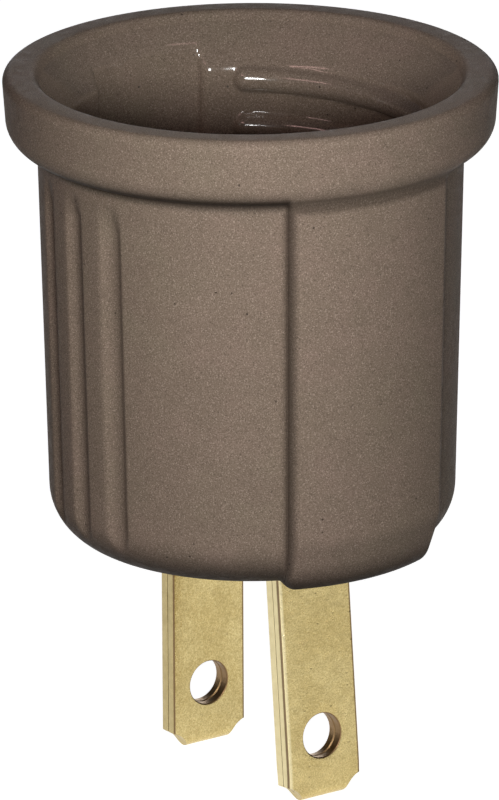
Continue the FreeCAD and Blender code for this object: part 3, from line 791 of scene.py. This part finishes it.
SKIN_WARM, SKIN_COOL = (0.250, 0.184, 0.143), (0.226, 0.178, 0.130)
SKIN_SHADE = tuple(0.93 * part for part in (0.238, 0.181, 0.136))
DARK_SPECK, PALE_SPECK = (0.085, 0.064, 0.048), (0.500, 0.400, 0.325)
# The worn colour is pale wear that on the brow and the lip also paints in glints; the darkest colour is
# painted shade.
WEAR_AND_GLINT_SKIN, SHADE_COLOUR = (0.46, 0.37, 0.32), (0.022, 0.016, 0.012)
PIT, DUST = (0.035, 0.026, 0.020), (0.56, 0.47, 0.40)
BRASS_LIGHT, BRASS_DEEP = (0.62, 0.50, 0.23), (0.56, 0.44, 0.19)
DARK_GRAIN, PALE_GRAIN = (0.34, 0.26, 0.09), (0.80, 0.70, 0.36)
CUT_BRASS, HOLE_BRASS, TARNISH = (0.50, 0.41, 0.21), (0.20, 0.10, 0.045), (0.30, 0.20, 0.09)
# The pale rubbed colour is a painted highlight; the border colour is painted shade.
HIGHLIGHT_BRASS, BORDER_SHADE_BRASS = (0.86, 0.76, 0.46), (0.13, 0.07, 0.035)
# How much of each shows where it lies.
SPECK_SHARE, WEAR_AND_GLINT_SHARE, PIT_SHARE, DUST_SHARE, SHADE_SHARE = 0.75, 0.3, 0.75, 0.6, 0.98
DARK_GRAIN_SHARE, PALE_GRAIN_SHARE, TARNISH_SHARE = 0.5, 0.45, 0.22
HOLE_SHARE, HIGHLIGHT_SHARE, BORDER_SHADE_SHARE = 0.75, 0.7, 0.85
# Depths of relief. The moulding's grain has its own for each finish.
SKIN_WAVE_DEPTH, PIT_DEPTH = 0.03, 0.05
BRASS_WAVE_DEPTH, DENT_DEPTH, SCRATCH_DEPTH, BRASS_GRAIN_DEPTH = 0.03, 0.02, 0.006, 0.016
BRASS_LEAST_ROUGH, BRASS_MOST_ROUGH, CUT_ROUGHER = 0.26, 0.40, 0.15


class Surface:
    """A material's nodes. Sizes of patterns are given in millimetres."""

    def __init__(self, name):
        self.material = bpy.data.materials.new(name)
        self.material.use_nodes = True
        self.nodes = self.material.node_tree.nodes
        self.links = self.material.node_tree.links
        self.shader = self.nodes["Principled BSDF"]
        self.where = self.nodes.new("ShaderNodeTexCoord").outputs["Object"]

    def put(self, socket, value):
        if isinstance(value, bpy.types.NodeSocket):
            self.links.new(value, socket)
        else:
            socket.default_value = value

    def set(self, name, value):
        self.put(self.shader.inputs[name], value)

    def placed(self, stretch, shift):
        """The object's own coordinates, stretched and shifted."""
        mapping = self.nodes.new("ShaderNodeMapping")
        self.put(mapping.inputs["Vector"], self.where)
        mapping.inputs["Scale"].default_value = stretch
        mapping.inputs["Location"].default_value = (shift, shift, shift)
        return mapping.outputs["Vector"]

    def noise(self, size, detail=2.0, roughness=0.5, stretch=(1, 1, 1), shift=0.0):
        """Clouds about so large, from 0 to 1."""
        node = self.nodes.new("ShaderNodeTexNoise")
        self.put(node.inputs["Vector"], self.placed(stretch, shift))
        node.inputs["Scale"].default_value = 1 / (size * MM)
        node.inputs["Detail"].default_value = detail
        node.inputs["Roughness"].default_value = roughness
        return node.outputs["Fac"]

    def spots(self, spacing, radius, chosen, shift=0.0):
        """Round spots, 1 at their middle. Only a share of the places has one."""
        node = self.nodes.new("ShaderNodeTexVoronoi")
        self.put(node.inputs["Vector"], self.placed((1, 1, 1), shift))
        node.inputs["Scale"].default_value = 1 / (spacing * MM)
        core, soft = 0.3 * radius, 0.01
        near = self.ramp(node.outputs["Distance"], radius / spacing, core / spacing)
        split = self.nodes.new("ShaderNodeSeparateColor")
        self.put(split.inputs[0], node.outputs["Color"])
        kept = self.ramp(split.outputs[0], 1 - chosen - soft, 1 - chosen + soft)
        return self.math("MULTIPLY", near, kept)

    def ramp(self, value, start, end, low=0.0, high=1.0):
        """Low before start, high past end, smooth between."""
        node = self.nodes.new("ShaderNodeMapRange")
        node.interpolation_type = "SMOOTHSTEP"
        if start > end:
            start, end, low, high = end, start, high, low
        for socket, number in zip(node.inputs[1:5], (start, end, low, high)):
            socket.default_value = number
        self.put(node.inputs["Value"], value)
        return node.outputs["Result"]

    def math(self, kind, first, second):
        node = self.nodes.new("ShaderNodeMath")
        node.operation = kind
        self.put(node.inputs[0], first)
        self.put(node.inputs[1], second)
        return node.outputs[0]

    def mix(self, share, first, second):
        """Two colours mixed."""
        node = self.nodes.new("ShaderNodeMix")
        node.data_type = "RGBA"
        self.put(node.inputs["Factor"], share)
        for socket, value in ((node.inputs[6], first), (node.inputs[7], second)):
            self.put(socket, value if isinstance(value, bpy.types.NodeSocket) else (*value, 1))
        return node.outputs[2]

    def stain(self, colour, where, share, other):
        """A colour with a share of another one over it, where a mask says so."""
        return self.mix(self.math("MULTIPLY", where, share), colour, other)

    def attribute(self, name):
        node = self.nodes.new("ShaderNodeAttribute")
        node.attribute_name = name
        return node.outputs["Fac"]

    def place(self, axis):
        """Place along one axis, in metres."""
        split = self.nodes.new("ShaderNodeSeparateXYZ")
        self.put(split.inputs[0], self.where)
        return split.outputs[axis]

    def bump(self, height, depth, below=None):
        """Relief of a depth in millimetres, on top of other relief."""
        node = self.nodes.new("ShaderNodeBump")
        node.inputs["Strength"].default_value = 1.0
        node.inputs["Distance"].default_value = depth * MM
        self.put(node.inputs["Height"], height)
        if below is not None:
            self.put(node.inputs["Normal"], below)
        return node.outputs["Normal"]


def moulding(name, specular, least_rough, most_rough, grain_depth):
    """Brown thermoset: speckled, with pits, dust, painted shade in creases and low down, and pale rubbed
    edges, partly painted glints.
    """
    skin = Surface(name)
    tone = skin.ramp(skin.noise(9.0, 3), 0.35, 0.65)
    colour = skin.mix(tone, SKIN_WARM, SKIN_COOL)
    cloud = skin.ramp(skin.noise(2.4, 3, shift=0.1), 0.3, 0.7)
    colour = skin.mix(cloud, SKIN_SHADE, colour)
    speckle = skin.noise(0.10, 3, 0.75, shift=0.2)
    colour = skin.mix(skin.ramp(speckle, 0.47, 0.34, high=SPECK_SHARE), colour, DARK_SPECK)
    colour = skin.mix(skin.ramp(speckle, 0.53, 0.68, high=SPECK_SHARE), colour, PALE_SPECK)
    # Pale rubbed patches: wear, which on the brow and the lip also paints in glints as a painted highlight.
    patches = skin.ramp(skin.noise(0.35, 3, 0.7, shift=0.3), 0.45, 0.70)
    worn = skin.math("MULTIPLY", skin.attribute("worn"), patches)
    colour = skin.stain(colour, worn, WEAR_AND_GLINT_SHARE, WEAR_AND_GLINT_SKIN)
    pits = skin.spots(0.9, 0.11, 0.16)
    dust = skin.spots(1.3, 0.09, 0.10, shift=0.05)
    colour = skin.stain(colour, pits, PIT_SHARE, PIT)
    colour = skin.stain(colour, dust, DUST_SHARE, DUST)
    # Painted shade: darker in the crease under the flange, towards the foot's bottom and beside the panels'
    # walls.
    colour = skin.stain(colour, skin.attribute("grime"), SHADE_SHARE, SHADE_COLOUR)
    skin.set("Base Color", colour)
    haze = skin.noise(0.5, 4, 0.6, shift=0.4)
    skin.set("Roughness", skin.ramp(haze, 0.3, 0.7, least_rough, most_rough))
    skin.set("Specular IOR Level", specular)
    relief = skin.bump(skin.noise(2.2, 2, shift=0.5), SKIN_WAVE_DEPTH)
    relief = skin.bump(speckle, grain_depth, relief)
    relief = skin.bump(skin.ramp(pits, 0, 1, 1, 0), PIT_DEPTH, relief)
    skin.set("Normal", relief)
    return skin.material


def brass():
    """Rolled brass with fine scratches, duller redder cut edges, a painted highlight and painted shade at
    the edges.
    """
    metal = Surface("rolled_brass")
    tone = metal.ramp(metal.noise(3.5, 3), 0.35, 0.65)
    colour = metal.mix(tone, BRASS_LIGHT, BRASS_DEEP)
    fine = metal.noise(0.10, 2, 0.6, shift=0.1)
    colour = metal.mix(metal.ramp(fine, 0.54, 0.38, high=DARK_GRAIN_SHARE), colour, DARK_GRAIN)
    colour = metal.mix(metal.ramp(fine, 0.56, 0.70, high=PALE_GRAIN_SHARE), colour, PALE_GRAIN)
    cut = metal.attribute("sheared")
    in_hole = metal.ramp(cut, 0.86, 0.97, high=HOLE_SHARE)
    cut = metal.math("MULTIPLY", cut, metal.ramp(metal.noise(0.6, 3, shift=0.2), 0.2, 0.5, 0.6, 1))
    colour = metal.mix(cut, colour, CUT_BRASS)
    colour = metal.mix(in_hole, colour, HOLE_BRASS)
    tarnish = metal.ramp(metal.noise(1.4, 4, 0.6, shift=0.3), 0.62, 0.78, high=TARNISH_SHARE)
    colour = metal.mix(tarnish, colour, TARNISH)
    # Painted highlight: the front blade's rolled left edge is painted bright.
    across = metal.place("X")
    painted_highlight = metal.ramp(across, -HIGHLIGHT_START * MM, -HIGHLIGHT_END * MM, high=HIGHLIGHT_SHARE)
    on_front = metal.ramp(metal.place("Y"), HIGHLIGHT_SIDE * MM, -HIGHLIGHT_SIDE * MM)
    painted_highlight = metal.math("MULTIPLY", painted_highlight, on_front)
    colour = metal.mix(painted_highlight, colour, HIGHLIGHT_BRASS)
    # Painted shade: a dark line runs along the very border, on both edges of both blades.
    from_middle = metal.math("ABSOLUTE", across, 0.0)
    fade_start = (BORDER_START - BORDER_FADE_IN) * MM
    fade_end = (BORDER_END + BORDER_FADE_OUT) * MM
    border_shade = metal.ramp(from_middle, fade_start, BORDER_START * MM, high=BORDER_SHADE_SHARE)
    not_past = metal.ramp(from_middle, BORDER_END * MM, fade_end, 1, 0)
    border_shade = metal.math("MULTIPLY", border_shade, not_past)
    colour = metal.mix(border_shade, colour, BORDER_SHADE_BRASS)
    dents = metal.spots(0.75, 0.13, 0.30, shift=0.2)
    metal.set("Base Color", colour)
    metal.set("Metallic", 1.0)
    haze = metal.noise(0.7, 4, 0.6, shift=0.4)
    rough = metal.ramp(haze, 0.3, 0.7, BRASS_LEAST_ROUGH, BRASS_MOST_ROUGH)
    metal.set("Roughness", metal.math("ADD", rough, metal.math("MULTIPLY", cut, CUT_ROUGHER)))
    scratches = metal.noise(0.09, 2, 0.5, stretch=(1, 1, 0.06), shift=0.6)
    relief = metal.bump(metal.noise(0.55, 3, 0.6, shift=0.5), BRASS_WAVE_DEPTH)
    relief = metal.bump(metal.ramp(dents, 0, 1, 1, 0), DENT_DEPTH, relief)
    relief = metal.bump(scratches, SCRATCH_DEPTH, relief)
    relief = metal.bump(fine, BRASS_GRAIN_DEPTH, relief)
    metal.set("Normal", relief)
    return metal.material


def painted(piece, material):
    piece.data.materials.clear()
    piece.data.materials.append(material)


# Floor, lights and camera. Distances and sizes of lamps and floor are metres.

FLOOR_REACH = 6.0
# The floor throws little light onto the object. Where it is seen it is a pale surface that glows.
FLOOR_THROWN, FLOOR_SEEN, FLOOR_GLOW = 0.03, 0.5, 0.97
LAMP_AIM_HEIGHT = 10 * MM
ROSY_LEFT, ROSY_RIGHT = (1, 0.60, 0.56), (1, 0.62, 0.58)
SURROUNDINGS = (0.027, 0.031, 0.037, 1)


def direction(azimuth, elevation):
    """The direction towards a place given by azimuth and elevation in degrees."""
    azimuth, elevation = math.radians(azimuth), math.radians(elevation)
    level = math.cos(elevation)
    return Vector((math.sin(azimuth) * level, -math.cos(azimuth) * level, math.sin(elevation)))


def make_floor():
    """A pale floor. Seen directly or in a reflection it is white, apart from the shadow."""
    mesh = bpy.data.meshes.new("floor")
    signs = ((-1, -1), (1, -1), (1, 1), (-1, 1))
    corners = [(x * FLOOR_REACH, y * FLOOR_REACH, -BLADE_LENGTH * MM) for x, y in signs]
    mesh.from_pydata(corners, [], [(0, 1, 2, 3)])
    floor = bpy.data.objects.new("floor", mesh)
    bpy.context.scene.collection.objects.link(floor)
    material = bpy.data.materials.new("pale_floor")
    material.use_nodes = True
    nodes, links = material.node_tree.nodes, material.node_tree.links
    nodes.clear()
    rays = nodes.new("ShaderNodeLightPath").outputs
    seen = rays["Is Camera Ray"]
    for name in ("Is Glossy Ray", "Is Transmission Ray"):
        add = nodes.new("ShaderNodeMath")
        add.use_clamp = True
        links.new(seen, add.inputs[0])
        links.new(rays[name], add.inputs[1])
        seen = add.outputs[0]
    plain = nodes.new("ShaderNodeBsdfDiffuse")
    plain.inputs["Color"].default_value = (FLOOR_THROWN, FLOOR_THROWN, FLOOR_THROWN, 1)
    pale = nodes.new("ShaderNodeBsdfDiffuse")
    pale.inputs["Color"].default_value = (FLOOR_SEEN, FLOOR_SEEN, FLOOR_SEEN, 1)
    glow = nodes.new("ShaderNodeEmission")
    glow.inputs["Strength"].default_value = FLOOR_GLOW
    both = nodes.new("ShaderNodeAddShader")
    mix = nodes.new("ShaderNodeMixShader")
    out = nodes.new("ShaderNodeOutputMaterial")
    links.new(pale.outputs[0], both.inputs[0])
    links.new(glow.outputs[0], both.inputs[1])
    links.new(seen, mix.inputs[0])
    links.new(plain.outputs[0], mix.inputs[1])
    links.new(both.outputs[0], mix.inputs[2])
    links.new(mix.outputs[0], out.inputs[0])
    mesh.materials.append(material)


def lamp(name, turn, elevation, distance, width, height, level, tint=(1, 1, 1)):
    """A lamp aimed at the object, turned so many degrees from the camera's azimuth.

    At level 1 a lamp alone shows a colour as it is written.
    """
    light = bpy.data.lights.new(name, "AREA")
    light.shape = "RECTANGLE"
    light.size = width
    light.size_y = height
    light.color = tint
    light.energy = math.pi ** 2 * distance ** 2 * level
    holder = bpy.data.objects.new(name, light)
    holder.visible_camera = False
    aim = direction(CAMERA_AZIMUTH + turn, elevation)
    holder.location = aim * distance + Vector((0, 0, LAMP_AIM_HEIGHT))
    holder.rotation_euler = aim.to_track_quat("Z", "Y").to_euler()
    bpy.context.scene.collection.objects.link(holder)


def make_lights():
    # The key lamp is close, so its light falls off quickly towards the object's sides.
    lamp("key", turn=2, elevation=23.6, distance=0.109, width=0.035, height=0.014, level=0.60)
    lamp("front_fill", turn=2, elevation=14, distance=0.9, width=0.2, height=0.2, level=0.15)
    # Two rosy lamps at the sides, seen as streaks on the glossy thread.
    lamp("left_strip", turn=-39, elevation=36, distance=0.8, width=0.36, height=0.08,
         level=0.055, tint=ROSY_LEFT)
    lamp("right_strip", turn=41, elevation=40, distance=0.8, width=0.30, height=0.05,
         level=0.015, tint=ROSY_RIGHT)
    lamp("back_fill", turn=180, elevation=8, distance=1.0, width=0.5, height=0.5, level=0.25)
    world = bpy.data.worlds.new("world")
    world.use_nodes = True
    background = world.node_tree.nodes["Background"]
    background.inputs["Color"].default_value = SURROUNDINGS
    background.inputs["Strength"].default_value = 1.0
    bpy.context.scene.world = world


def make_camera():
    data = bpy.data.cameras.new("camera")
    data.lens = CAMERA_LENS
    data.sensor_width = SENSOR_WIDTH
    data.clip_end = CLIP_END_M
    camera = bpy.data.objects.new("camera", data)
    away = direction(CAMERA_AZIMUTH, CAMERA_ELEVATION)
    place = Vector(CAMERA_STAND) * MM + away * CAMERA_DISTANCE * MM
    view = (Vector(CAMERA_TARGET) * MM - place).normalized()
    turn = view.to_track_quat("-Z", "Y").to_euler()
    turn.rotate_axis("Z", math.radians(CAMERA_ROLL))
    camera.rotation_euler = turn
    camera.location = place
    bpy.context.scene.collection.objects.link(camera)
    bpy.context.scene.camera = camera


make_housing()
brass_material = brass()
for blade in (make_centre_contact(), make_side_contact()):
    painted(blade, brass_material)
make_floor()
make_lights()
make_camera()
bpy.context.scene.view_settings.view_transform = "Standard"
